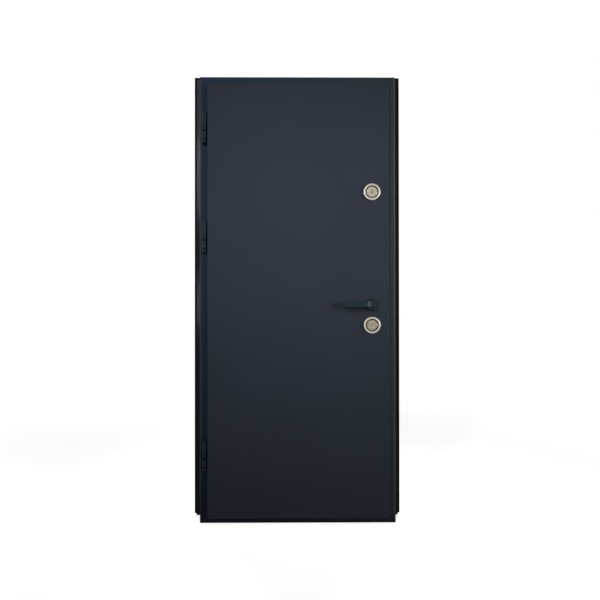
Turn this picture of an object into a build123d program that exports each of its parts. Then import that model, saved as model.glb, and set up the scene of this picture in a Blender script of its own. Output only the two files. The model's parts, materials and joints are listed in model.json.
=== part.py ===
from build123d import *
import os

os.makedirs("parts", exist_ok=True)

# Steel door in its frame. +X is right, +Y goes away from the viewer, +Z is up.
# The origin lies on the underside of the sill, in the middle of its width and depth.
# All lengths are millimetres.

# Frame: one folded and welded sheet section, mitred round the two jambs and the head
frame_width = 882.0
frame_height = 2013.0
frame_depth = 104.0
frame_sheet = 2.0
bend_inside = 1.5
strip_width = 48.0
outer_return = 22.0
rebate_depth = 70.0
stop_width = 16.0
flange_reach = 39.0
hem_width = 8.0
hem_round = 1.8
flange_notch = 10.0

# Sill: a closed tube with the same rebate and stop
sill_height = 48.0
sill_sheet = 2.0
sill_round = 3.5

# Leaf: a shallow outer tray that overlaps the frame, and a deep inner tray in the rebate
leaf_proud = 22.0
overlap_thick = 16.0
show_left = 35.0
show_right = 31.5
show_top = 42.0
show_sill = 28.0
leaf_sheet = 2.0
leaf_fold = 2.6
leaf_corner = 3.2
tray_sheet = 1.5
tray_fold = 2.2
tray_corner = 2.8
tray_depth = 58.0
gap_hinge = 6.0
gap_lock = 10.0
gap_top = 6.0
gap_sill = 6.0
tray_lap = 20.0

# Seal on the frame's stop
seal_width = 10.0
seal_height = 6.0
seal_round = 3.0

# Hinges: a pintle welded to the frame and a knuckle welded to the leaf
top_hinge_drop = 237.0
middle_hinge_drop = 728.0
bottom_hinge_rise = 305.0
hinge_length = 143.0
barrel_radius = 9.0
barrel_round = 1.5
axis_from_leaf = 14.0
axis_from_frame = 14.0
pintle_length = 62.0
foot_length = 18.0
foot_round = 7.0
foot_groove_width = 7.0
foot_groove_depth = 2.5
ring_width = 4.5
ring_depth = 1.5
line_rise = 17.0
line_width = 1.0
line_depth = 0.5
washer_gap = 0.5
pin_radius = 5.0
pin_clearance = 0.05
pin_length = 56.0
pin_chamfer = 1.5
pin_end_gap = 2.0
pad_thick = 8.0
pad_inset = 6.0

# Lock cases, faceplates and bolts
lock_backset = 78.0
lever_height = 983.0
cylinder_drop = 92.0
upper_lock_rise = 504.0
case_thick = 18.0
case_width = 105.0
upper_case_height = 170.0
lower_case_height = 230.0
lower_case_drop = 46.0
faceplate_width = 26.0
faceplate_thick = 3.0
faceplate_tail = 20.0
faceplate_corner = 4.0
bolt_radius = 8.0
bolt_clearance = 0.3
bolt_pitch = 32.0
bolt_count = 3
bolt_length = 42.0
bolt_rise = 1.0
bolt_chamfer = 1.0
latch_rise = 24.0
latch_width = 14.0
latch_height = 34.0
latch_bevel = 9.0
strike_thick = 1.5
strike_clearance = 2.0

# Round plates over the locks
escutcheon_radius = 38.0
escutcheon_height = 10.0
escutcheon_floor = 3.0
escutcheon_round = 4.0
recess_radius = 28.0
disc_radius = 23.0
disc_height = 6.0
disc_round = 1.0
boss_radius = 8.5
boss_height = 1.0
keyhole_radius = 2.6
key_slot_width = 2.4
key_slot_length = 9.0
key_depth = 5.0
dimple_radius = 1.6
dimple_spread = 15.0
dimple_depth = 1.2

# Lever handles, one on each face, on a square spindle
rosette_radius = 27.0
rosette_height = 9.0
rosette_round = 2.5
neck_radius = 9.5
neck_clearance = 0.05
neck_foot = 2.0
neck_gap = 0.6
root_radius = 11.0
root_front = 50.0
root_reach = 18.0
root_ramp = 9.0
root_round = 8.0
lever_reach = 130.0
bar_height = 26.0
bar_standoff = 36.0
bar_thick = 11.0
tip_thick = 9.0
tip_round = 3.0
bar_round = 2.5
spindle_side = 8.0
spindle_grip = 24.0
spindle_hole_radius = 6.5
sheet_hole_radius = 13.0
neck_hole_radius = 12.0

# Wall anchors through the jambs from the reveal, behind the stop
anchor_radius = 6.5
anchor_end = 230.0
anchor_count = 4

# Places worked out from the sizes above
front_y = -frame_depth / 2
back_y = frame_depth / 2
stop_y = front_y + rebate_depth
half_width = frame_width / 2
bend_out = bend_inside + frame_sheet
leaf_front_y = front_y - leaf_proud
overlap_back_y = leaf_front_y + overlap_thick
tray_back_y = front_y + tray_depth
leaf_left = -half_width + show_left
leaf_right = half_width - show_right
leaf_bottom = show_sill
leaf_top = frame_height - show_top
tray_left = -half_width + strip_width + gap_hinge
tray_right = half_width - strip_width - gap_lock
tray_bottom = sill_height + gap_sill
tray_top = frame_height - strip_width - gap_top
tray_mid_y = (overlap_back_y + tray_back_y) / 2
rebate_right = half_width - strip_width
hinge_x = leaf_left - axis_from_leaf
hinge_y = front_y - axis_from_frame
hinge_heights = {
    "top": frame_height - top_hinge_drop,
    "middle": frame_height - middle_hinge_drop,
    "bottom": bottom_hinge_rise,
}
lock_x = leaf_right - lock_backset
cylinder_height = lever_height - cylinder_drop
upper_lock_height = lever_height + upper_lock_rise
lower_case_mid = lever_height - lower_case_drop
latch_mid = lever_height + latch_rise
bolt_steps = [(i - (bolt_count - 1) / 2) * bolt_pitch for i in range(bolt_count)]
upper_bolt_places = [(tray_mid_y, upper_lock_height + step) for step in bolt_steps]
lower_bolt_places = [(tray_mid_y, cylinder_height + step) for step in bolt_steps]
anchor_y = (stop_y + back_y) / 2
anchor_pitch = (frame_height - 2 * anchor_end) / (anchor_count - 1)
anchor_heights = [anchor_end + i * anchor_pitch for i in range(anchor_count)]


def save(builder, name):
    """Label a finished piece and write it."""
    builder.part.label = name
    export_step(builder.part, "parts/" + name + ".step")


# Section of the frame: local x runs inwards from the outer face, local y runs back.
# The edge of the flange is folded flat onto its front, and a strip closes the box.
with BuildSketch() as frame_section:
    with BuildLine():
        FilletPolyline(
            (0, outer_return),
            (0, 0),
            (strip_width, 0),
            (strip_width, rebate_depth),
            (strip_width + stop_width, rebate_depth),
            (strip_width + stop_width, frame_depth),
            (-flange_reach, frame_depth),
            radius=[bend_out, bend_out, bend_inside, bend_out, bend_out],
        )
        offset(amount=frame_sheet, side=Side.LEFT)
    make_face()
    with Locations((0, outer_return)):
        Rectangle(frame_sheet, frame_depth - outer_return, align=Align.MIN)
    with Locations((-flange_reach, frame_depth)):
        Rectangle(hem_width, 2 * frame_sheet, align=(Align.MIN, Align.MAX))
    fillet(frame_section.vertices().group_by(Axis.X)[0], radius=hem_round)

# Outside of the sill: local x runs back from the front plane, local y runs up
with BuildSketch() as sill_outline:
    with BuildLine():
        Polyline(
            (0, 0),
            (frame_depth, 0),
            (frame_depth, sill_height + stop_width),
            (rebate_depth, sill_height + stop_width),
            (rebate_depth, sill_height),
            (0, sill_height),
            close=True,
        )
    make_face()

sill_plane = Plane(origin=(-half_width, front_y, 0), x_dir=(0, 1, 0), z_dir=(1, 0, 0))
left_mitre = Plane(origin=(-half_width, 0, frame_height), z_dir=(1, 0, 1))
right_mitre = Plane(origin=(half_width, 0, frame_height), z_dir=(-1, 0, 1))
section_height = frame_height + flange_reach


def jamb(side):
    """One jamb, from the floor to its mitre; side is -1 on the left and 1 on the right."""
    foot = Plane(
        origin=(side * half_width, front_y, 0),
        x_dir=(-side, 0, 0),
        z_dir=(0, 0, -side),
    )
    hem_middle = side * (half_width + flange_reach - hem_width / 2)
    reveal = side * (half_width - strip_width - stop_width)
    with BuildPart() as piece:
        with BuildSketch(foot):
            add(frame_section.sketch)
        extrude(amount=-side * section_height)
        split(bisect_by=left_mitre if side < 0 else right_mitre, keep=Keep.BOTTOM)
        with BuildSketch(sill_plane):
            add(sill_outline.sketch)
        extrude(amount=frame_width, mode=Mode.SUBTRACT)
        with BuildSketch(Plane.XZ.offset(-back_y)):
            with Locations((hem_middle, flange_notch / 2)):
                Rectangle(hem_width, flange_notch)
        extrude(amount=frame_depth, mode=Mode.SUBTRACT)
        with BuildSketch(Plane.YZ.offset(reveal)):
            with Locations([(anchor_y, z) for z in anchor_heights]):
                Circle(anchor_radius)
        extrude(amount=side * (strip_width + stop_width), mode=Mode.SUBTRACT)
    return piece


save(jamb(-1), "hinge_jamb")


def bolt_holes(places, clearance, with_latch):
    """Outlines of the bolts, and of the latch if asked, grown by a clearance."""
    with BuildSketch() as holes:
        with Locations(places):
            Circle(bolt_radius + clearance)
        if with_latch:
            with Locations((tray_mid_y, latch_mid)):
                Rectangle(latch_width + 2 * clearance, latch_height + 2 * clearance)
    return holes


# Openings that the bolts and the latch shoot into, the same in the jamb and the strikes
upper_strike_holes = bolt_holes(upper_bolt_places, strike_clearance, with_latch=False)
lower_strike_holes = bolt_holes(lower_bolt_places, strike_clearance, with_latch=True)
right_jamb = jamb(1)
with BuildPart() as lock_jamb:
    add(right_jamb.part)
    with BuildSketch(Plane.YZ.offset(rebate_right)):
        add(upper_strike_holes.sketch)
        add(lower_strike_holes.sketch)
    extrude(amount=2 * frame_sheet, mode=Mode.SUBTRACT)
save(lock_jamb, "lock_jamb")


def edge_plate(mid_height, case_height):
    """Outline shared by a faceplate and the strike opposite it."""
    with BuildSketch() as outline:
        with Locations((tray_mid_y, mid_height)):
            RectangleRounded(faceplate_width, case_height + 2 * faceplate_tail, faceplate_corner)
    return outline


upper_plate = edge_plate(upper_lock_height, upper_case_height)
lower_plate = edge_plate(lower_case_mid, lower_case_height)


def strike(plate, holes):
    """Thin plate on the rebate wall, facing a lock."""
    with BuildPart() as piece:
        with BuildSketch(Plane.YZ.offset(rebate_right)):
            add(plate.sketch)
            add(holes.sketch, mode=Mode.SUBTRACT)
        extrude(amount=-strike_thick)
    return piece


save(strike(upper_plate, upper_strike_holes), "upper_strike")
save(strike(lower_plate, lower_strike_holes), "lower_strike")

# Head: the same section, mitred at both ends
head_plane = Plane(
    origin=(-half_width - flange_reach, front_y, frame_height),
    x_dir=(0, 0, -1),
    z_dir=(1, 0, 0),
)
with BuildPart() as head:
    with BuildSketch(head_plane):
        add(frame_section.sketch)
    extrude(amount=frame_width + 2 * flange_reach)
    split(bisect_by=left_mitre, keep=Keep.TOP)
    split(bisect_by=right_mitre, keep=Keep.TOP)
save(head, "head")

# Sill: a tube across the full width of the frame, rolled at all corners but the inner one
inner_corner = (rebate_depth, sill_height, 0)
with BuildPart() as sill:
    with BuildSketch(sill_plane) as sill_section:
        add(sill_outline.sketch)
        fillet(sill_section.vertices().sort_by_distance(inner_corner)[1:], radius=sill_round)
        offset(amount=-sill_sheet, mode=Mode.SUBTRACT)
    extrude(amount=frame_width)
save(sill, "sill")

# Seal: a rounded ring on the four stops, facing the back of the leaf
seal_x = half_width - strip_width - stop_width / 2
seal_low = sill_height + stop_width / 2
seal_high = frame_height - strip_width - stop_width / 2
with BuildPart() as frame_seal:
    with BuildSketch(Plane.XZ.offset(-stop_y)):
        with Locations((0, (seal_low + seal_high) / 2)):
            Rectangle(2 * seal_x + seal_width, seal_high - seal_low + seal_width)
            Rectangle(
                2 * seal_x - seal_width,
                seal_high - seal_low - seal_width,
                mode=Mode.SUBTRACT,
            )
    extrude(amount=seal_height)
    fillet(frame_seal.faces().sort_by(Axis.Y)[0].edges(), radius=seal_round)
save(frame_seal, "frame_seal")


hinge_axis = Axis((hinge_x, hinge_y, 0), (0, 0, 1))
hinge_plane = Plane(origin=(hinge_x, hinge_y, 0), x_dir=(1, 0, 0), z_dir=(0, -1, 0))


def pintle(height):
    """Lower half of a hinge, turned in one with its pin and welded to the front of the jamb."""
    low = height - hinge_length / 2
    joint = low + pintle_length
    groove = low + foot_length
    neck = groove + foot_groove_width
    ring = joint - ring_width
    with BuildPart() as piece:
        with BuildSketch(hinge_plane):
            with BuildLine():
                Polyline(
                    (0, low),
                    (barrel_radius, low),
                    (barrel_radius, groove),
                    (barrel_radius - foot_groove_depth, groove),
                    (barrel_radius - foot_groove_depth, neck),
                    (barrel_radius, neck),
                    (barrel_radius, ring),
                    (barrel_radius - ring_depth, ring),
                    (barrel_radius - ring_depth, joint),
                    (pin_radius, joint),
                    (pin_radius, joint + pin_length),
                    (0, joint + pin_length),
                    close=True,
                )
            make_face()
        revolve(axis=hinge_axis)
        fillet(piece.faces().sort_by(Axis.Z)[0].edges(), radius=foot_round)
        chamfer(piece.faces().sort_by(Axis.Z)[-1].edges(), length=pin_chamfer)
        with BuildSketch(Plane.XY.offset(neck)):
            with Locations((hinge_x, hinge_y + axis_from_frame)):
                Rectangle(pad_thick, axis_from_frame, align=(Align.CENTER, Align.MAX))
        extrude(amount=ring - neck)
    return piece


def knuckle(height):
    """Upper half of a hinge, with a blind bore for the pin, welded to the edge of the leaf."""
    low = height - hinge_length / 2 + pintle_length + washer_gap
    high = height + hinge_length / 2
    line = low + line_rise
    bore = low + pin_length - washer_gap + pin_end_gap
    with BuildPart() as piece:
        with BuildSketch(hinge_plane):
            with BuildLine():
                Polyline(
                    (pin_radius + pin_clearance, low),
                    (barrel_radius, low),
                    (barrel_radius, line),
                    (barrel_radius - line_depth, line),
                    (barrel_radius - line_depth, line + line_width),
                    (barrel_radius, line + line_width),
                    (barrel_radius, high),
                    (0, high),
                    (0, bore),
                    (pin_radius + pin_clearance, bore),
                    close=True,
                )
            make_face()
        revolve(axis=hinge_axis)
        fillet(piece.faces().sort_by(Axis.Z)[-1].edges(), radius=barrel_round)
        with BuildSketch(Plane.XY.offset(line + line_width)):
            with Locations((hinge_x + axis_from_leaf, hinge_y)):
                Rectangle(axis_from_leaf, pad_thick, align=(Align.MAX, Align.CENTER))
            with Locations((hinge_x, hinge_y)):
                Circle(pin_radius + pin_clearance, mode=Mode.SUBTRACT)
        extrude(amount=high - pad_inset - line - line_width)
    return piece


for place, height in hinge_heights.items():
    save(pintle(height), place + "_hinge_pintle")
    save(knuckle(height), place + "_hinge_knuckle")


def slab(left, right, low, high, near_y, far_y):
    """Plain block given by its six sides."""
    with BuildPart() as block:
        with BuildSketch(Plane.XZ.offset(-far_y)):
            with Locations(((left + right) / 2, (low + high) / 2)):
                Rectangle(right - left, high - low)
        extrude(amount=far_y - near_y)
    return block


# Outer sheet of the leaf: a shallow tray whose edge is folded back and then inwards
leaf_skin = slab(leaf_left, leaf_right, leaf_bottom, leaf_top, leaf_front_y, overlap_back_y)
leaf_hollow = slab(
    leaf_left + leaf_sheet,
    leaf_right - leaf_sheet,
    leaf_bottom + leaf_sheet,
    leaf_top - leaf_sheet,
    leaf_front_y + leaf_sheet,
    overlap_back_y - leaf_sheet,
)
leaf_mouth = slab(
    tray_left + tray_lap,
    tray_right - tray_lap,
    tray_bottom + tray_lap,
    tray_top - tray_lap,
    overlap_back_y - leaf_sheet,
    overlap_back_y,
)
with BuildPart() as leaf_outer_sheet:
    add(leaf_skin.part)
    fillet(leaf_outer_sheet.edges().filter_by(Axis.Y), radius=leaf_corner)
    fillet(leaf_outer_sheet.faces().sort_by(Axis.Y)[0].edges(), radius=leaf_fold)
    add(leaf_hollow.part, mode=Mode.SUBTRACT)
    add(leaf_mouth.part, mode=Mode.SUBTRACT)
    with BuildSketch(Plane.XZ.offset(-leaf_front_y)):
        with Locations((lock_x, cylinder_height), (lock_x, upper_lock_height)):
            Circle(sheet_hole_radius)
        with Locations((lock_x, lever_height)):
            Circle(neck_hole_radius)
    extrude(amount=-leaf_sheet, mode=Mode.SUBTRACT)
save(leaf_outer_sheet, "leaf_outer_sheet")

# Inner sheet of the leaf: a deep tray, open towards the outer sheet, cut for the faceplates
tray_skin = slab(tray_left, tray_right, tray_bottom, tray_top, overlap_back_y, tray_back_y)
tray_hollow = slab(
    tray_left + tray_sheet,
    tray_right - tray_sheet,
    tray_bottom + tray_sheet,
    tray_top - tray_sheet,
    overlap_back_y,
    tray_back_y - tray_sheet,
)
with BuildPart() as leaf_inner_sheet:
    add(tray_skin.part)
    fillet(leaf_inner_sheet.edges().filter_by(Axis.Y), radius=tray_corner)
    fillet(leaf_inner_sheet.faces().sort_by(Axis.Y)[-1].edges(), radius=tray_fold)
    add(tray_hollow.part, mode=Mode.SUBTRACT)
    with BuildSketch(Plane.XZ.offset(-tray_back_y)):
        with Locations((lock_x, cylinder_height), (lock_x, upper_lock_height)):
            Circle(sheet_hole_radius)
        with Locations((lock_x, lever_height)):
            Circle(neck_hole_radius)
    extrude(amount=tray_sheet, mode=Mode.SUBTRACT)
    with BuildSketch(Plane.YZ.offset(tray_right)):
        add(upper_plate.sketch)
        add(lower_plate.sketch)
    extrude(amount=-tray_sheet, mode=Mode.SUBTRACT)
save(leaf_inner_sheet, "leaf_inner_sheet")


def lock(plate, mid_height, case_height, cross_holes, holes):
    """Mortise lock: a case behind a faceplate that is flush with the edge of the leaf."""
    with BuildPart() as piece:
        with BuildSketch(Plane.YZ.offset(tray_right)):
            add(plate.sketch)
        extrude(amount=-faceplate_thick)
        with BuildSketch(Plane.YZ.offset(tray_right - faceplate_thick)):
            with Locations((tray_mid_y, mid_height)):
                Rectangle(case_thick, case_height)
        extrude(amount=-case_width)
        with BuildSketch(Plane.XZ.offset(-tray_mid_y)):
            with Locations([(lock_x, z) for z in cross_holes]):
                Circle(spindle_hole_radius)
        extrude(amount=case_thick, both=True, mode=Mode.SUBTRACT)
        with BuildSketch(Plane.YZ.offset(tray_right)):
            add(holes.sketch)
        extrude(amount=-bolt_length, mode=Mode.SUBTRACT)
    return piece


def bolts(places):
    """Round dead bolts, drawn back until their ends stand just proud of the faceplate."""
    outlines = bolt_holes(places, 0, with_latch=False)
    with BuildPart() as piece:
        with BuildSketch(Plane.YZ.offset(tray_right - bolt_length)):
            add(outlines.sketch)
        extrude(amount=bolt_length + bolt_rise)
        chamfer(piece.faces().group_by(Axis.X)[-1].edges(), length=bolt_chamfer)
    return piece


upper_case_holes = bolt_holes(upper_bolt_places, bolt_clearance, with_latch=False)
lower_case_holes = bolt_holes(lower_bolt_places, bolt_clearance, with_latch=True)
upper_cross = [upper_lock_height]
lower_cross = [lever_height, cylinder_height]
upper_lock = lock(upper_plate, upper_lock_height, upper_case_height, upper_cross, upper_case_holes)
lower_lock = lock(lower_plate, lower_case_mid, lower_case_height, lower_cross, lower_case_holes)
save(upper_lock, "upper_lock")
save(lower_lock, "lower_lock")
save(bolts(upper_bolt_places), "upper_bolts")
save(bolts(lower_bolt_places), "lower_bolts")

# Latch: drawn back too, bevelled on the side that meets the frame first
with BuildPart() as latch_bolt:
    with BuildSketch(Plane.YZ.offset(tray_right - bolt_length)):
        with Locations((tray_mid_y, latch_mid)):
            Rectangle(latch_width, latch_height)
    extrude(amount=bolt_length + bolt_rise)
    latch_nose = latch_bolt.faces().sort_by(Axis.X)[-1].edges().sort_by(Axis.Y)[-1]
    chamfer(latch_nose, length=latch_bevel)
save(latch_bolt, "latch_bolt")


def face_plane(face, height):
    """Plane on a face of the leaf at the lock axis; its normal points away from the leaf."""
    y = leaf_front_y if face < 0 else tray_back_y
    return Plane(origin=(lock_x, y, height), x_dir=(-face, 0, 0), z_dir=(0, face, 0))


def outer_rim(piece, face):
    """Edges of the face that lies farthest from the leaf."""
    return piece.faces().sort_by(Axis((0, 0, 0), (0, face, 0)))[-1].edges()


def escutcheon(face, height):
    """Round dish with a rolled rim; the keyway disc sits in its recess."""
    with BuildPart() as piece:
        with BuildSketch(face_plane(face, height)):
            Circle(escutcheon_radius)
        extrude(amount=escutcheon_height)
        fillet(outer_rim(piece, face), radius=escutcheon_round)
        with BuildSketch(face_plane(face, height).offset(escutcheon_floor)):
            Circle(recess_radius)
        extrude(amount=escutcheon_height, mode=Mode.SUBTRACT)
    return piece


def boss_disc(face, height):
    """Disc in the middle of an escutcheon, with a raised boss round its keyhole."""
    front = face_plane(face, height).offset(escutcheon_floor + disc_height)
    with BuildPart() as piece:
        with BuildSketch(face_plane(face, height).offset(escutcheon_floor)):
            Circle(disc_radius)
        extrude(amount=disc_height)
        fillet(outer_rim(piece, face), radius=disc_round)
        with BuildSketch(front):
            Circle(boss_radius)
        extrude(amount=boss_height)
        with BuildSketch(front.offset(boss_height)):
            Circle(keyhole_radius)
            Rectangle(key_slot_width, key_slot_length, align=(Align.CENTER, Align.MAX))
        extrude(amount=-key_depth, mode=Mode.SUBTRACT)
    return piece


def flat_disc(face, height):
    """Disc over the key cylinder, with a key slot and a dimple on each side."""
    front = face_plane(face, height).offset(escutcheon_floor + disc_height)
    with BuildPart() as piece:
        with BuildSketch(face_plane(face, height).offset(escutcheon_floor)):
            Circle(disc_radius)
        extrude(amount=disc_height)
        fillet(outer_rim(piece, face), radius=disc_round)
        with BuildSketch(front):
            Rectangle(key_slot_width, key_slot_length)
        extrude(amount=-key_depth, mode=Mode.SUBTRACT)
        with BuildSketch(front):
            with Locations((-dimple_spread, 0), (dimple_spread, 0)):
                Circle(dimple_radius)
        extrude(amount=-dimple_depth, mode=Mode.SUBTRACT)
    return piece


def rosette(face):
    """Round plate with the bearing of the lever's neck."""
    with BuildPart() as piece:
        with BuildSketch(face_plane(face, lever_height)):
            Circle(rosette_radius)
        extrude(amount=rosette_height)
        fillet(outer_rim(piece, face), radius=rosette_round)
        with BuildSketch(face_plane(face, lever_height)):
            Circle(neck_radius + neck_clearance)
        extrude(amount=rosette_height, mode=Mode.SUBTRACT)
    return piece


def lever(face):
    """Round neck under a bar that points to the hinges: thick over the neck, then flat."""
    foot = face_plane(face, lever_height)
    plan = Plane(origin=foot.origin, x_dir=(-1, 0, 0), z_dir=(0, 0, -face))
    bar_front = bar_standoff + bar_thick
    outward = Axis((0, 0, 0), (0, face, 0))
    with BuildPart() as piece:
        with BuildSketch(plan):
            with BuildLine():
                Polyline(
                    (-root_radius, bar_standoff),
                    (root_reach + root_ramp, bar_standoff),
                    (lever_reach, bar_front - tip_thick),
                    (lever_reach, bar_front),
                    (root_reach + root_ramp, bar_front),
                    (root_reach, root_front),
                    (-root_radius, root_front),
                    close=True,
                )
            make_face()
        extrude(amount=bar_height / 2, both=True)
        root_end = piece.faces().sort_by(Axis.X)[-1]
        root_corner = root_end.edges().filter_by(Axis.Z).sort_by(outward)[-1]
        fillet(root_corner, radius=root_round)
        tip = piece.faces().sort_by(Axis.X)[0]
        fillet(tip.edges().filter_by(Axis.Z), radius=tip_round)
        fillet(piece.faces().filter_by(Axis.Z).edges(), radius=bar_round)
        with BuildSketch(foot.offset(rosette_height + neck_gap)):
            Circle(root_radius)
        extrude(amount=bar_standoff + bar_round - rosette_height - neck_gap)
        with BuildSketch(foot.offset(neck_foot)):
            Circle(neck_radius)
        extrude(amount=rosette_height + neck_gap - neck_foot)
        with BuildSketch(foot.offset(neck_foot)):
            Rectangle(spindle_side, spindle_side)
        extrude(amount=spindle_grip, mode=Mode.SUBTRACT)
    return piece


for face, side in ((-1, "outside"), (1, "inside")):
    save(escutcheon(face, upper_lock_height), "upper_escutcheon_" + side)
    save(boss_disc(face, upper_lock_height), "upper_keyway_" + side)
    save(escutcheon(face, cylinder_height), "lower_escutcheon_" + side)
    save(flat_disc(face, cylinder_height), "lower_keyway_" + side)
    save(rosette(face), "rosette_" + side)
    save(lever(face), "lever_" + side)

# Spindle: square bar through the lock, gripped by both levers
grip_ends = neck_foot + spindle_grip
with BuildPart() as spindle:
    with BuildSketch(face_plane(1, lever_height).offset(grip_ends)):
        Rectangle(spindle_side, spindle_side)
    extrude(amount=-(2 * grip_ends + tray_back_y - leaf_front_y))
save(spindle, "spindle")
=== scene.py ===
import json
import math

import bpy
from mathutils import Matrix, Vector


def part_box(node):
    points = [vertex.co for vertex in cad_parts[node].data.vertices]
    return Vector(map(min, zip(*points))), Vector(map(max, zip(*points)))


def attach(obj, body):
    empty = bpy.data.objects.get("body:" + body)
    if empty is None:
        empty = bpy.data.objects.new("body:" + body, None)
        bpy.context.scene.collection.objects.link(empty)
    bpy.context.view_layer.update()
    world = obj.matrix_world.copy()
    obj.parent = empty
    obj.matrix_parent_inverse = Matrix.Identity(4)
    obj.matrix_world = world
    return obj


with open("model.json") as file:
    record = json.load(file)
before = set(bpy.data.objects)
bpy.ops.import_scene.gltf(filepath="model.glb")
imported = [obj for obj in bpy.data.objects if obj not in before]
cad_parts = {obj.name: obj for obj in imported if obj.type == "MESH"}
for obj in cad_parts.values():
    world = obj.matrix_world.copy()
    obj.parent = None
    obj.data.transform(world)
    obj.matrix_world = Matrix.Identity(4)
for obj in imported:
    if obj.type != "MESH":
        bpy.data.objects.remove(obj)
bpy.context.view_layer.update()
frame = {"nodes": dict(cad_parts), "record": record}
scene = bpy.context.scene
nodes = frame["nodes"]
print("stage 1: packed door loaded,", len(nodes), "nodes")


# helpers for node trees: what feeds a socket is a number, a colour or another node's output
def freshMaterial(name):
    mat = bpy.data.materials.new(name)
    mat.use_nodes = True
    mat.node_tree.nodes.clear()
    return mat, mat.node_tree


def addNode(tree, kind, x, y, **settings):
    node = tree.nodes.new(kind)
    node.location = (x, y)
    for key, value in settings.items():
        setattr(node, key, value)
    return node


def feed(tree, node, values):
    for key, value in values.items():
        if isinstance(value, bpy.types.NodeSocket):
            tree.links.new(value, node.inputs[key])
        else:
            node.inputs[key].default_value = value
    return node.outputs


def wired(tree, kind, x, y, values):
    return feed(tree, addNode(tree, kind, x, y), values)


def maths(tree, operation, x, y, *terms, clamp=False):
    node = addNode(tree, "ShaderNodeMath", x, y, operation=operation, use_clamp=clamp)
    return feed(tree, node, dict(enumerate(terms)))[0]


def vectorMaths(tree, operation, x, y, *terms):
    node = addNode(tree, "ShaderNodeVectorMath", x, y, operation=operation)
    return feed(tree, node, dict(enumerate(terms)))["Value" if operation == "LENGTH" else "Vector"]


def scaled(tree, colour, share, x, y):
    node = addNode(tree, "ShaderNodeVectorMath", x, y, operation="SCALE")
    return feed(tree, node, {0: colour, "Scale": share})["Vector"]


def blend(tree, share, first, second, x, y, kind="RGBA"):
    node = addNode(tree, "ShaderNodeMix", x, y, data_type=kind)
    return feed(tree, node, {"Factor": share, "A": first, "B": second})["Result"]


# from low to high while value goes from start to end, and no further
def fade(tree, value, start, end, x, y, low=0, high=1):
    return wired(tree, "ShaderNodeMapRange", x, y, {
        "Value": value, "From Min": start, "From Max": end, "To Min": low, "To Max": high})["Result"]


noiseSpan = (0.3, 0.7)  # nearly all of a noise lies in here


def ramp(tree, value, dark, light, x, y):
    node = addNode(tree, "ShaderNodeValToRGB", x, y)
    for stop, place, colour in zip(node.color_ramp.elements, noiseSpan, (dark, light)):
        stop.position, stop.color = place, opaque(colour)
    return feed(tree, node, {"Fac": value})["Color"]


def bumped(tree, height, strength, depth, x, y):
    return wired(tree, "ShaderNodeBump", x, y, {
        "Height": height, "Strength": strength, "Distance": depth})["Normal"]


# at rest the object coordinates of every node are the door's own coordinates
def atRest(tree, x, y):
    return addNode(tree, "ShaderNodeTexCoord", x, y).outputs["Object"]


def splitPlace(tree, x, y):
    return wired(tree, "ShaderNodeSeparateXYZ", x, y, {"Vector": atRest(tree, x - 200, y)})


def showSurface(tree, values, x=100):
    shader = wired(tree, "ShaderNodeBsdfPrincipled", x, 0, values)["BSDF"]
    wired(tree, "ShaderNodeOutputMaterial", x + 300, 0, {"Surface": shader})


def opaque(colour):
    return (*colour, 1)


def grey(value):
    return opaque((value, value, value))


def openGroup(name, given, made):
    tree = bpy.data.node_groups.new(name, "ShaderNodeTree")
    for socket, kind, value in given:
        entry = tree.interface.new_socket(socket, in_out="INPUT", socket_type="NodeSocket" + kind)
        entry.default_value = value
    for socket, kind in made:
        tree.interface.new_socket(socket, in_out="OUTPUT", socket_type="NodeSocket" + kind)
    return tree, addNode(tree, "NodeGroupInput", -1300, 0).outputs, addNode(tree, "NodeGroupOutput", 600, 0)


# distance to a turning axis, whose direction Flatten leaves out: 1 between two radii, and fine rings
def buildRingGroup():
    tree, given, end = openGroup("turnedRings", (
        ("Centre", "Vector", (0, 0, 0)), ("Inner", "Float", 0.023), ("Outer", "Float", 0.028),
        ("Pitch", "Float", 0.0005), ("Soft", "Float", 0.0006), ("Flatten", "Vector", (1, 0, 1)),
    ), (("Band", "Float"), ("Rings", "Float")))
    offset = vectorMaths(tree, "SUBTRACT", -1100, 0, atRest(tree, -1300, -250), given["Centre"])
    flat = vectorMaths(tree, "MULTIPLY", -900, 0, offset, given["Flatten"])
    radius = vectorMaths(tree, "LENGTH", -700, 0, flat)
    back = maths(tree, "MULTIPLY", -700, -200, given["Soft"], -1)
    sides = []
    for pair, y in (((radius, given["Inner"]), 150), ((given["Outer"], radius), -50)):
        gap = maths(tree, "SUBTRACT", -450, y, *pair)
        sides.append(fade(tree, gap, back, given["Soft"], -250, y))
    turns = maths(tree, "DIVIDE", -450, -300, radius, given["Pitch"])
    wobble = addNode(tree, "ShaderNodeTexNoise", -450, -500, noise_dimensions="1D")
    rings = feed(tree, wobble, {"W": turns, "Scale": 1, "Detail": 3})["Fac"]
    feed(tree, end, {"Band": maths(tree, "MULTIPLY", 0, 50, *sides), "Rings": rings})
    return tree


ringGroup = buildRingGroup()


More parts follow.
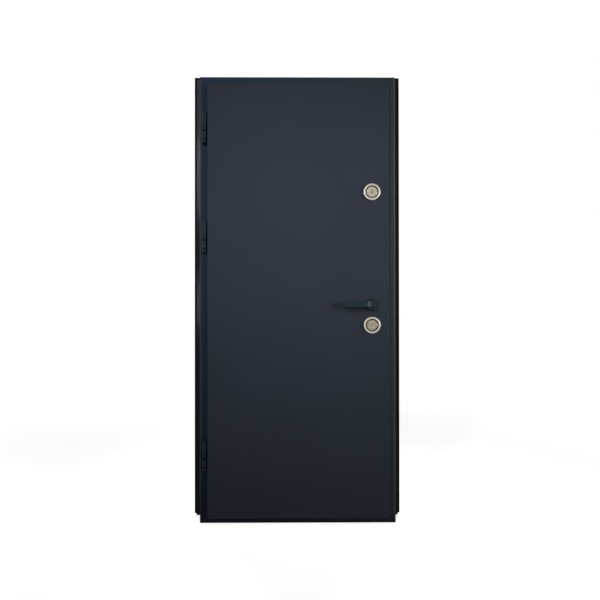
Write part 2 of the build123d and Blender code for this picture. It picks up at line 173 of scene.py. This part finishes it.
# one group for all paint and the rubber: fine powder-coat grain and slow cloudiness in colour and gloss
def buildCoatGroup():
    tree, given, end = openGroup("powderCoat", (
        ("Base", "Color", grey(0.5)), ("Grain Size", "Float", 900), ("Roughness", "Float", 0.4),
        ("Cloud", "Float", 0.08),
    ), (("Colour", "Color"), ("Rough", "Float"), ("Height", "Float")))
    place = atRest(tree, -1100, -300)
    grain = wired(tree, "ShaderNodeTexNoise", -800, -250, {
        "Vector": place, "Scale": given["Grain Size"], "Detail": 3, "Roughness": 0.55})["Fac"]
    pits = wired(tree, "ShaderNodeTexVoronoi", -800, -500, {
        "Vector": place, "Scale": given["Grain Size"]})["Distance"]
    cloud = wired(tree, "ShaderNodeTexNoise", -800, 150, {
        "Vector": place, "Scale": 3.2, "Detail": 5, "Roughness": 0.6})["Fac"]
    centred = maths(tree, "SUBTRACT", -550, 150, cloud, 0.5)
    swing = maths(tree, "MULTIPLY", -350, 150, centred, given["Cloud"])
    gain = maths(tree, "ADD", -150, 150, swing, 1)
    feed(tree, end, {"Colour": scaled(tree, given["Base"], gain, 50, 200),
                     "Rough": maths(tree, "MULTIPLY_ADD", 50, 0, swing, 0.5, given["Roughness"]),
                     "Height": maths(tree, "ADD", -550, -350, grain, pits)})
    return tree


coatGroup = buildCoatGroup()


def coatNode(tree, look, base, x):
    return feed(tree, addNode(tree, "ShaderNodeGroup", x, 0, node_tree=coatGroup), {
        "Base": base, "Grain Size": look["grainSize"], "Roughness": look["rough"], "Cloud": look["cloud"]})


paintGrainHigh, metalGrainHigh = 0.0004, 0.0002  # metres, before each look's bump


def showPaint(tree, look, colour, rough, height, x=100):
    normal = bumped(tree, height, look["bump"], paintGrainHigh, x - 250, -200)
    showSurface(tree, {"Base Color": colour, "Roughness": rough, "Normal": normal,
                       "Specular IOR Level": look["specular"]}, x)


# plain paint; with an edgeX the strip beside that edge is darker, painted shade of the gap beside the leaf
def coatMaterial(name, look):
    mat, tree = freshMaterial(name)
    coat = coatNode(tree, look, opaque(look["colour"]), -400)
    colour = coat["Colour"]
    if "edgeX" in look:
        unshaded = fade(tree, splitPlace(tree, -600, 300)["X"], *look["edgeX"], -400, 300, low=look["edgeShade"])
        colour = scaled(tree, colour, unshaded, -150, 200)
    showPaint(tree, look, colour, coat["Rough"], coat["Height"])
    return mat


leafLook = {"colour": (0.025, 0.0315, 0.0455), "grainSize": 900, "rough": 0.5, "cloud": 0.25, "bump": 0.3,
            "specular": 0.06, "edgeX": (-0.4063, -0.4005), "edgeShade": 0.35}
# the rosette's paint is darker than the lever's: painted shade under the lever
rosetteShadeLook = {"colour": (0.011, 0.021, 0.027), "grainSize": 1600, "rough": 0.4, "cloud": 0.3, "bump": 0.08,
               "specular": 0.08}
sealLook = {"colour": (0.01, 0.01, 0.011), "grainSize": 700, "rough": 0.75, "cloud": 0.3, "bump": 0.3,
            "specular": 0.2}


# frame paint: fine texture on the faces to the front, smooth on the flange, painted shade along its folded
# edge;
# the colours are pairs, for the hinge side and the lock side, painted warmer and lighter on the lock side for
# how the lamps fall
def frameMaterial(name, look):
    mat, tree = freshMaterial(name)
    at = splitPlace(tree, -1200, 300)
    # painted light: the lock side's colours are warmer and lighter, the hinge side's bluer, for how the lamps
    # fall on each side
    toRight = fade(tree, at["X"], -look["sideReach"], look["sideReach"], -1400, 700)
    tints = {word: blend(tree, toRight, *map(opaque, look[word]), -1100, y)
             for word, y in (("colour", 900), ("rearColour", 1100), ("bendHighlightColour", 1300))}
    coat = coatNode(tree, look, tints["colour"], -600)
    across = maths(tree, "ABSOLUTE", -1000, 400, at["X"])
    hemSide, hemTop, pastRebate, pastFlange, pastFront = (
        fade(tree, source, start, start + look["maskSoft"], -800, y)
        for source, start, y in ((across, look["hemFrom"][0], 500), (at["Z"], look["hemFrom"][1], 350),
                                 (at["Y"], look["rearFrom"], 200), (at["Y"], look["rearTo"], 0),
                                 (at["Y"], look["bendTo"], -200)))
    # painted highlight on the frame's outer bend in front
    bendIn = fade(tree, across, *look["bendFrom"], -800, 800, high=look["bendHighlightShare"])
    bend = maths(tree, "SUBTRACT", -600, 700, bendIn, pastFront, clamp=True)
    flange = maths(tree, "SUBTRACT", -600, 100, pastRebate, pastFlange)
    hem = maths(tree, "MAXIMUM", -600, 450, hemSide, hemTop)
    # painted shade: the frame darker towards the floor, up to a greater height on the hinge side
    feet = [fade(tree, at["Z"], 0, height, -800, y, low=look["footShade"])
            for height, y in zip(look["footHeight"], (650, 900))]
    foot = blend(tree, toRight, *feet, -500, 900, kind="FLOAT")
    colour = blend(tree, bend, coat["Colour"], tints["bendHighlightColour"], -450, 600)
    colour = blend(tree, flange, colour, tints["rearColour"], -300, 450)
    colour = blend(tree, hem, colour, opaque(look["hemShadeColour"]), -300, 300)
    colour = scaled(tree, colour, foot, -100, 350)
    rough = blend(tree, flange, coat["Rough"], look["rearRough"], -300, 50, kind="FLOAT")
    rough = blend(tree, hem, rough, look["hemRough"], -100, 50, kind="FLOAT")
    showPaint(tree, look, colour, rough, coat["Height"], 150)
    return mat


# rear: the flange's face, between two depths. bend: the frame's outer edge in front, painted pale as a
# highlight. hem: the flange's folded edge, from this far aside and this high up, painted dark as shade. foot:
# painted shade, the frame darker up to these heights, left and right
frameLook = {"colour": ((0.0175, 0.0295, 0.05), (0.0205, 0.033, 0.0405)), "grainSize": 1100, "rough": 0.55,
             "cloud": 0.2, "bump": 0.02, "specular": 0.065, "sideReach": 0.3, "maskSoft": 0.0008,
             "rearFrom": 0.03, "rearTo": 0.0506, "rearRough": 0.15,
             "rearColour": ((0.0145, 0.0135, 0.022), (0.0175, 0.0155, 0.009)),
             "bendFrom": (0.4335, 0.4365), "bendTo": -0.048, "bendHighlightShare": 0.9,
             "bendHighlightColour": ((0.036, 0.037, 0.046), (0.053, 0.062, 0.058)),
             "hemFrom": (0.4695, 2.0415), "hemShadeColour": (0.002, 0.0025, 0.003), "hemRough": 0.6,
             "footHeight": (0.45, 0.06), "footShade": 0.3}


# hinge paint: painted shade in the turned grooves, on the pads behind the barrel and round the joint
def hingeMaterial(name, look, jointHeight):
    mat, tree = freshMaterial(name)
    coat = coatNode(tree, look, opaque(look["colour"]), -600)
    skin = addNode(tree, "ShaderNodeGroup", -600, 300, node_tree=ringGroup)
    unshaded = feed(tree, skin, {"Centre": look["axis"], "Inner": look["skinFrom"], "Outer": look["skinTo"],
                              "Soft": look["skinSoft"], "Flatten": (1, 1, 0)})["Band"]
    height = splitPlace(tree, -1000, 550)["Z"]
    for k, (rise, reach) in enumerate(look["jointShade"]):
        y = 550 + 200 * k
        fromLine = maths(tree, "SUBTRACT", -800, y, height, jointHeight + rise)
        apart = maths(tree, "ABSOLUTE", -600, y, fromLine)
        awayFromJoint = fade(tree, apart, reach - look["jointShadeSoft"], reach + look["jointShadeSoft"], -400, y)
        unshaded = maths(tree, "MULTIPLY", -200, y, awayFromJoint, unshaded)
    colour = blend(tree, unshaded, opaque(look["shadeColour"]), coat["Colour"], -300, 200)
    showPaint(tree, look, colour, coat["Rough"], coat["Height"])
    return mat


pintleLow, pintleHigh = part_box("top_hinge_pintle")
barrelWide = 0.018
hingeAxis = ((pintleLow[0] + pintleHigh[0]) / 2, pintleLow[1] + barrelWide / 2, 0)
# skin: the barrel's radius, where the paint carries no painted shade. The dark bands round the joint are
# painted shade, each a height over the joint and half a width
hingeLook = {"colour": (0.017, 0.0275, 0.036), "grainSize": 1400, "rough": 0.5, "cloud": 0.3, "bump": 0.1,
             "specular": 0.03, "axis": hingeAxis, "skinFrom": barrelWide / 2 - 0.00025,
             "skinTo": barrelWide / 2 + 0.0005, "skinSoft": 0.0002, "shadeColour": (0.0008, 0.001, 0.0015),
             "jointShade": ((-0.0022, 0.0048), (0.0172, 0.0018)), "jointShadeSoft": 0.001}


# lever paint: a painted highlight, pale on the ramp beside the neck, and painted shade, darker on the rounded
# end
def leverMaterial(name, look):
    mat, tree = freshMaterial(name)
    coat = coatNode(tree, look, opaque(look["colour"]), -700)
    x = splitPlace(tree, -1200, 300)["X"]
    fromRamp = maths(tree, "SUBTRACT", -1000, 400, x, look["rampX"])
    apart = maths(tree, "ABSOLUTE", -850, 400, fromRamp)
    rampHighlight = fade(tree, apart, 0, look["rampReach"], -700, 400, low=1, high=0)
    atEnd = fade(tree, x, *look["endX"], -700, 650)
    colour = blend(tree, rampHighlight, coat["Colour"], opaque(look["rampHighlightColour"]), -450, 200)
    colour = blend(tree, atEnd, colour, opaque(look["endShadeColour"]), -250, 200)
    showPaint(tree, look, colour, coat["Rough"], coat["Height"])
    return mat


leverLook = {"colour": (0.0125, 0.0245, 0.0335), "grainSize": 1600, "rough": 0.46, "cloud": 0.3, "bump": 0.08,
             "specular": 0.08, "rampX": 0.312, "rampReach": 0.0095, "rampHighlightColour": (0.085, 0.115, 0.112),
             "endX": (0.334, 0.337), "endShadeColour": (0.004, 0.009, 0.012)}


# satin nickel of the round plates: turned in rings, mottled, with a dull brown, less metallic band of painted
# shade where the groove is
def nickelMaterial(name, look):
    mat, tree = freshMaterial(name)
    plate = addNode(tree, "ShaderNodeGroup", -800, 0, node_tree=ringGroup)
    turned = feed(tree, plate, {"Centre": look["centre"], "Inner": look["shadeBand"][0],
                                "Outer": look["shadeBand"][1], "Pitch": look["pitch"]})
    band, rings = turned["Band"], turned["Rings"]
    tone = ramp(tree, rings, look["dark"], look["light"], -550, 250)
    spots = wired(tree, "ShaderNodeTexNoise", -900, 500, {
        "Vector": atRest(tree, -1100, 500), "Scale": look["spotSize"], "Detail": 3})["Fac"]
    depth = fade(tree, spots, *noiseSpan, -700, 500, low=1 - look["spotDepth"], high=1 + look["spotDepth"])
    mottled = scaled(tree, tone, depth, -400, 350)
    showSurface(tree, {
        "Base Color": blend(tree, band, mottled, opaque(look["shadeColour"]), -200, 250),
        "Metallic": fade(tree, band, 0, 1, -200, 50, low=1, high=look["shadeMetallic"]),
        "Roughness": fade(tree, rings, 0, 1, -550, -50, *look["rough"]),
        "Normal": bumped(tree, rings, look["bump"], metalGrainHigh, -200, -300)})
    return mat


rimLook = {"dark": (0.33, 0.31, 0.27), "light": (0.4, 0.375, 0.33), "shadeColour": (0.1, 0.082, 0.055),
           "shadeMetallic": 0.15, "shadeBand": (0.0225, 0.0292), "pitch": 0.0009, "rough": (0.41, 0.51),
           "bump": 0.1, "spotSize": 120, "spotDepth": 0.06}
paleDiscLook = {"dark": (0.34, 0.3, 0.265), "light": (0.5, 0.455, 0.405), "shadeColour": (0.24, 0.19, 0.14),
                "shadeMetallic": 0.15, "shadeBand": (0.0045, 0.0085), "pitch": 0.0011, "rough": (0.21, 0.31),
                "bump": 0.25, "spotSize": 170, "spotDepth": 0.25}
taupeDiscLook = {"dark": (0.25, 0.22, 0.175), "light": (0.34, 0.305, 0.25), "shadeColour": (0.14, 0.12, 0.085),
                 "shadeMetallic": 0.15, "shadeBand": (0.0226, 0.0245), "pitch": 0.0011, "rough": (0.23, 0.33),
                 "bump": 0.15, "spotSize": 140, "spotDepth": 0.36}


# zinc-plated lock steel and the spindle, brushed along one way
def metalMaterial(name, look):
    mat, tree = freshMaterial(name)
    streaks = wired(tree, "ShaderNodeMapping", -900, 0, {
        "Vector": atRest(tree, -1100, 0), "Scale": look["streak"]})["Vector"]
    brush = wired(tree, "ShaderNodeTexNoise", -700, 0, {
        "Vector": streaks, "Scale": look["brushSize"], "Detail": 4})["Fac"]
    showSurface(tree, {
        "Base Color": ramp(tree, brush, look["dark"], look["light"], -450, 150),
        "Metallic": 1,
        "Roughness": fade(tree, brush, 0, 1, -450, -100, *look["rough"]),
        "Normal": bumped(tree, brush, look["bump"], metalGrainHigh, -200, -300)})
    return mat


lockSteelLook = {"streak": (1, 1, 0.05), "brushSize": 900, "dark": (0.22, 0.22, 0.215),
                 "light": (0.34, 0.34, 0.33), "rough": (0.36, 0.5), "bump": 0.2}
spindleLook = {"streak": (1, 0.05, 1), "brushSize": 900, "dark": (0.22, 0.22, 0.22),
               "light": (0.32, 0.32, 0.32), "rough": (0.29, 0.43), "bump": 0.2}

finishes = {
    "leaf_paint": coatMaterial("leafPaint", leafLook),
    "frame_paint": frameMaterial("framePaint", frameLook),
    "lever_paint": leverMaterial("leverPaint", leverLook),
    "rosette": coatMaterial("rosetteShadedPaint", rosetteShadeLook),
    "seal": coatMaterial("sealRubber", sealLook),
    "lock_steel": metalMaterial("lockSteel", lockSteelLook),
    "spindle_steel": metalMaterial("spindleSteel", spindleLook),
}
hingePaints = {}
nickelLooks = {"escutcheon": rimLook, "upper_keyway": paleDiscLook, "lower_keyway": taupeDiscLook}
for part in frame["record"]["subparts"]:
    name = part["node"]
    mesh = nodes[name].data
    mesh.materials.clear()
    if part["material_slot"] == "nickel":
        low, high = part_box(name)
        middle = [(a + b) / 2 for a, b in zip(low, high)]
        look = next(nickelLooks[word] for word in nickelLooks if word in name)
        mesh.materials.append(nickelMaterial(name + "_nickel", dict(look, centre=middle)))
    elif part["material_slot"] == "hinge_paint":
        spot = name.split("_")[0]
        if spot not in hingePaints:
            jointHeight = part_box(spot + "_hinge_knuckle")[0][2]
            hingePaints[spot] = hingeMaterial(spot + "HingePaint", hingeLook, jointHeight)
        mesh.materials.append(hingePaints[spot])
    elif name.startswith("rosette"):
        mesh.materials.append(finishes["rosette"])
    else:
        mesh.materials.append(finishes[part["material_slot"]])
print("stage 2: finishes on", len(nodes), "nodes")


# small things that the solids leave out: weld beads and the screws of the faceplates and strikes
def meshPiece(name, verts, faces, body, slot, finish):
    mesh = bpy.data.meshes.new(name)
    mesh.from_pydata(verts, [], faces)
    mesh.validate()
    mesh.polygons.foreach_set("use_smooth", [True] * len(mesh.polygons))
    mesh.materials.append(finish)
    piece = bpy.data.objects.new(name, mesh)
    scene.collection.objects.link(piece)
    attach(piece, body)


weldLook = {"radius": 0.0016, "scale": 0.0022, "ripple": 0.16, "steps": 5, "sides": 10, "leastRings": 8,
            "endShare": 0.35, "endRise": 6}


# a bead of small scales, thinner towards its ends
def weldBead(verts, faces, start, end, radius):
    run = Vector(end) - Vector(start)
    along = run.normalized()
    side = along.orthogonal().normalized()
    up = along.cross(side)
    steps, sides, ripple = weldLook["steps"], weldLook["sides"], weldLook["ripple"]
    rings = max(weldLook["leastRings"], round(run.length / weldLook["scale"]) * steps)
    first = len(verts)
    for i in range(rings + 1):
        t = i / rings
        beat = abs(math.sin(math.pi * t * rings / steps))
        taper = min(1.0, weldLook["endRise"] * min(t, 1 - t) + weldLook["endShare"])
        r = radius * taper * (1 - ripple + ripple * beat)
        centre = Vector(start) + run * t
        for k in range(sides):
            a = 2 * math.pi * k / sides
            verts.append(centre + side * (r * math.cos(a)) + up * (r * math.sin(a)))
    for i in range(rings):
        for k in range(sides):
            a = first + i * sides + k
            b = first + i * sides + (k + 1) % sides
            faces.append((a, b, b + sides, a + sides))
    faces.append(tuple(first + k for k in reversed(range(sides))))
    faces.append(tuple(first + rings * sides + k for k in range(sides)))


# the hinge weld beads are painted near black: painted shade of the gaps they sit in
weldShadePaintLook = {"colour": (0.004, 0.006, 0.008), "grainSize": 1600, "rough": 0.5, "cloud": 0.3, "bump": 0.08,
                 "specular": 0.05}
weldShadePaint = coatMaterial("weldShadePaint", weldShadePaintLook)
# the two beads beside each hinge pad: half their spacing, where they lie, and how far they stop from the
# piece's ends and from the joint
padLook = {"half": 0.004, "frontY": -0.052, "leafX": -0.406, "frameFoot": 0.027, "frameTop": 0.0065,
           "leafFoot": 0.0195, "leafTop": 0.0075}
for place in ("top", "middle", "bottom"):
    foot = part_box(place + "_hinge_pintle")[0][2]
    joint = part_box(place + "_hinge_knuckle")[0][2]
    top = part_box(place + "_hinge_knuckle")[1][2]
    onFrame, onLeaf = ([], []), ([], [])
    for side in (-1, 1):
        x, y = (hingeAxis[k] + side * padLook["half"] for k in (0, 1))
        weldBead(*onFrame, (x, padLook["frontY"], foot + padLook["frameFoot"]),
                 (x, padLook["frontY"], joint - padLook["frameTop"]), weldLook["radius"])
        weldBead(*onLeaf, (padLook["leafX"], y, joint + padLook["leafFoot"]),
                 (padLook["leafX"], y, top - padLook["leafTop"]), weldLook["radius"])
    meshPiece(place + "_pintle_welds", *onFrame, "frame", "hinge_paint", weldShadePaint)
    meshPiece(place + "_knuckle_welds", *onLeaf, "leaf", "hinge_paint", weldShadePaint)

# one bead along each mitre of the frame's front, from its inner to its outer corner
mitreLook = {"outer": (0.4395, 2.0115), "inner": (0.392, 1.964), "y": -0.0516, "radius": 0.0009}
beads = ([], [])
for side in (-1, 1):
    ends = [(side * x, mitreLook["y"], z) for x, z in (mitreLook["inner"], mitreLook["outer"])]
    weldBead(*beads, *ends, mitreLook["radius"])
meshPiece("mitre_welds", *beads, "frame", "frame_paint", finishes["frame_paint"])

# rings are shares of the radius, twists are how the two screws of a plate stand in turn
screwLook = {"radius": 0.0038, "proud": 0.0005, "slot": 0.0009, "slotReach": 0.0024, "slotDeep": 0.0007,
             "inset": 0.010, "turns": 56, "rings": (0.18, 0.36, 0.5, 0.62, 0.64, 0.8, 0.93, 1.0),
             "twists": (0.4, 1.1)}


# head with a cross slot: rings from the middle out, sunk where they cross the slot
def screwVerts(centre, facing, twist):
    turns, rings = screwLook["turns"], screwLook["rings"]
    verts = [(centre[0] + facing * (screwLook["proud"] - screwLook["slotDeep"]), centre[1], centre[2])]
    faces = [(0, 1 + k, 1 + (k + 1) % turns) for k in range(turns)]
    for share in rings:
        r = share * screwLook["radius"]
        for k in range(turns):
            a = 2 * math.pi * k / turns
            u, v = r * math.cos(a), r * math.sin(a)
            height = screwLook["proud"] * (1 - share ** 4)
            if min(abs(u), abs(v)) < screwLook["slot"] / 2 and r < screwLook["slotReach"]:
                height -= screwLook["slotDeep"]
            turnedU = u * math.cos(twist) - v * math.sin(twist)
            turnedV = u * math.sin(twist) + v * math.cos(twist)
            verts.append((centre[0] + facing * height, centre[1] + turnedU, centre[2] + turnedV))
    for i in range(len(rings) - 1):
        for k in range(turns):
            a, b = 1 + i * turns + k, 1 + i * turns + (k + 1) % turns
            faces.append((a, b, b + turns, a + turns))
    return verts, [face[::facing] for face in faces]


for plate, facing, body in (("upper_lock", 1, "leaf"), ("lower_lock", 1, "leaf"),
                            ("upper_strike", -1, "frame"), ("lower_strike", -1, "frame")):
    low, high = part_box(plate)
    x = high[0] if facing > 0 else low[0]
    verts, faces = [], []
    for z, twist in zip((low[2] + screwLook["inset"], high[2] - screwLook["inset"]), screwLook["twists"]):
        more, polygons = screwVerts((x, (low[1] + high[1]) / 2, z), facing, twist)
        faces += [tuple(len(verts) + i for i in polygon) for polygon in polygons]
        verts += more
    meshPiece(plate + "_screws", verts, faces, body, "lock_steel", finishes["lock_steel"])
print("stage 3: welds and screws added")

# camera: angles in degrees, lengths of the picture in its own pixels
cameraSet = {"place": (-0.0752, -2.5419, 0.9331), "turnRight": 0.378, "tiltUp": 0.312, "roll": 0.043,
             "focal": 551.75, "axisAt": (284.72, 312.77), "picture": 600, "sensor": 36}
camData = bpy.data.cameras.new("camera")
camData.sensor_width = cameraSet["sensor"]
camData.lens = cameraSet["focal"] / cameraSet["picture"] * cameraSet["sensor"]
camData.shift_x = (cameraSet["picture"] / 2 - cameraSet["axisAt"][0]) / cameraSet["picture"]
camData.shift_y = (cameraSet["axisAt"][1] - cameraSet["picture"] / 2) / cameraSet["picture"]
camera = bpy.data.objects.new("camera", camData)
camera.location = cameraSet["place"]
camera.rotation_euler = (math.radians(90 + cameraSet["tiltUp"]), math.radians(cameraSet["roll"]),
                         -math.radians(cameraSet["turnRight"]))
scene.collection.objects.link(camera)
scene.camera = camera

# floor: colour is what lights the door, eyeColour and glow are what the camera and reflections see
floorSet = {"half": 14.0, "colour": 0.5, "eyeColour": 0.95, "glow": (0.78, 0.925), "reach": (0.4, 3.5)}
floorMesh = bpy.data.meshes.new("floor")
h = floorSet["half"]
floorMesh.from_pydata([(-h, -h, 0), (h, -h, 0), (h, h, 0), (-h, h, 0)], [], [(0, 1, 2, 3)])
floor = bpy.data.objects.new("floor", floorMesh)
scene.collection.objects.link(floor)


# the first shader for the camera, reflections and what is seen through glass, the second for the light
def whiteToEye(tree, seen, rest):
    rays = addNode(tree, "ShaderNodeLightPath", -400, 300).outputs
    eye = maths(tree, "MAXIMUM", -200, 300, rays["Is Camera Ray"], rays["Is Glossy Ray"])
    eye = maths(tree, "MAXIMUM", -50, 300, eye, rays["Is Transmission Ray"])
    return wired(tree, "ShaderNodeMixShader", 100, 0, {0: eye, 1: rest, 2: seen})["Shader"]


floorMat, tree = freshMaterial("paleFloor")
matt = wired(tree, "ShaderNodeBsdfDiffuse", -400, -150, {"Color": grey(floorSet["colour"])})["BSDF"]
eyeMatt = wired(tree, "ShaderNodeBsdfDiffuse", -400, -350, {"Color": grey(floorSet["eyeColour"])})["BSDF"]
# less glow beside the door, where the lamps reach the floor and its shadow has to show
away = vectorMaths(tree, "LENGTH", -800, 250, atRest(tree, -1000, 250))
rise = fade(tree, away, *floorSet["reach"], -600, 250, *floorSet["glow"])
glow = wired(tree, "ShaderNodeEmission", -400, 50, {"Strength": rise})["Emission"]
shaded = wired(tree, "ShaderNodeAddShader", -150, 50, {0: glow, 1: eyeMatt})["Shader"]
wired(tree, "ShaderNodeOutputMaterial", 400, 0, {"Surface": whiteToEye(tree, shaded, matt)})
floorMesh.materials.append(floorMat)

# world: a weak light on the door, plain white to the eye
worldSet = {"light": 0.085, "seen": 1.0}
world = bpy.data.worlds.new("studio")
world.use_nodes = True
scene.world = world
tree = world.node_tree
tree.nodes.clear()
soft, plain = (wired(tree, "ShaderNodeBackground", -200, y, {
    "Color": grey(1), "Strength": worldSet[word]})["Background"]
    for word, y in (("light", -150), ("seen", 50)))
wired(tree, "ShaderNodeOutputWorld", 400, 0, {"Surface": whiteToEye(tree, plain, soft)})


def areaLamp(name, look):
    data = bpy.data.lights.new(name, "AREA")
    data.shape = "RECTANGLE"
    data.size, data.size_y = look["size"]
    data.energy = look["watts"]
    data.spread = math.radians(look["spread"])
    data.color = look["tint"]
    lamp = bpy.data.objects.new(name, data)
    lamp.location = look["place"]
    aim = Vector(look["aim"]) - Vector(look["place"])
    lamp.rotation_euler = aim.to_track_quat("-Z", "Y").to_euler()
    scene.collection.objects.link(lamp)


# gridded soft boxes: the first four light the outside, the others the sides and the inside
cool, warm, neutral = (1.0, 0.95, 1.08), (1.05, 1.02, 0.87), (1, 1, 1)
softBoxes = {
    "topLeft": {"size": (0.28, 0.7), "watts": 1.0, "spread": 56, "tint": cool,
                "place": (-1.05, -2.95, 3.08), "aim": (0.15, 0, 1.1)},
    "highLeft": {"size": (0.28, 0.8), "watts": 2.55, "spread": 56, "tint": cool,
                 "place": (-1.05, -2.95, 2.33), "aim": (0.15, 0, 1.3)},
    "lowLeft": {"size": (0.28, 0.42), "watts": 1.5, "spread": 54, "tint": cool,
                "place": (-1.05, -2.95, 1.08), "aim": (0.15, 0, 1.75)},
    "right": {"size": (1.2, 1.8), "watts": 7.1, "spread": 46, "tint": warm,
              "place": (2.6, -2.3, 1.6), "aim": (0, 0, 1.24)},
    "leftSide": {"size": (0.6, 1.2), "watts": 3.2, "spread": 50, "tint": neutral,
                 "place": (-3.0, -0.3, 1.7), "aim": (0, 0, 1.35)},
    "rightSide": {"size": (1.2, 1.8), "watts": 4.2, "spread": 50, "tint": neutral,
                  "place": (3.0, -0.3, 1.7), "aim": (0, 0, 1.35)},
    "backLeft": {"size": (0.8, 1.4), "watts": 7, "spread": 62, "tint": neutral,
                 "place": (-1.7, 2.9, 1.9), "aim": (0, 0, 1.1)},
    "backRight": {"size": (0.8, 1.4), "watts": 7, "spread": 62, "tint": neutral,
                  "place": (1.7, 2.9, 1.9), "aim": (0, 0, 1.1)},
}
for name, look in softBoxes.items():
    areaLamp(name, look)

scene.view_settings.view_transform = "Standard"
print("stage 4: camera, floor and lights")

bpy.context.view_layer.update()
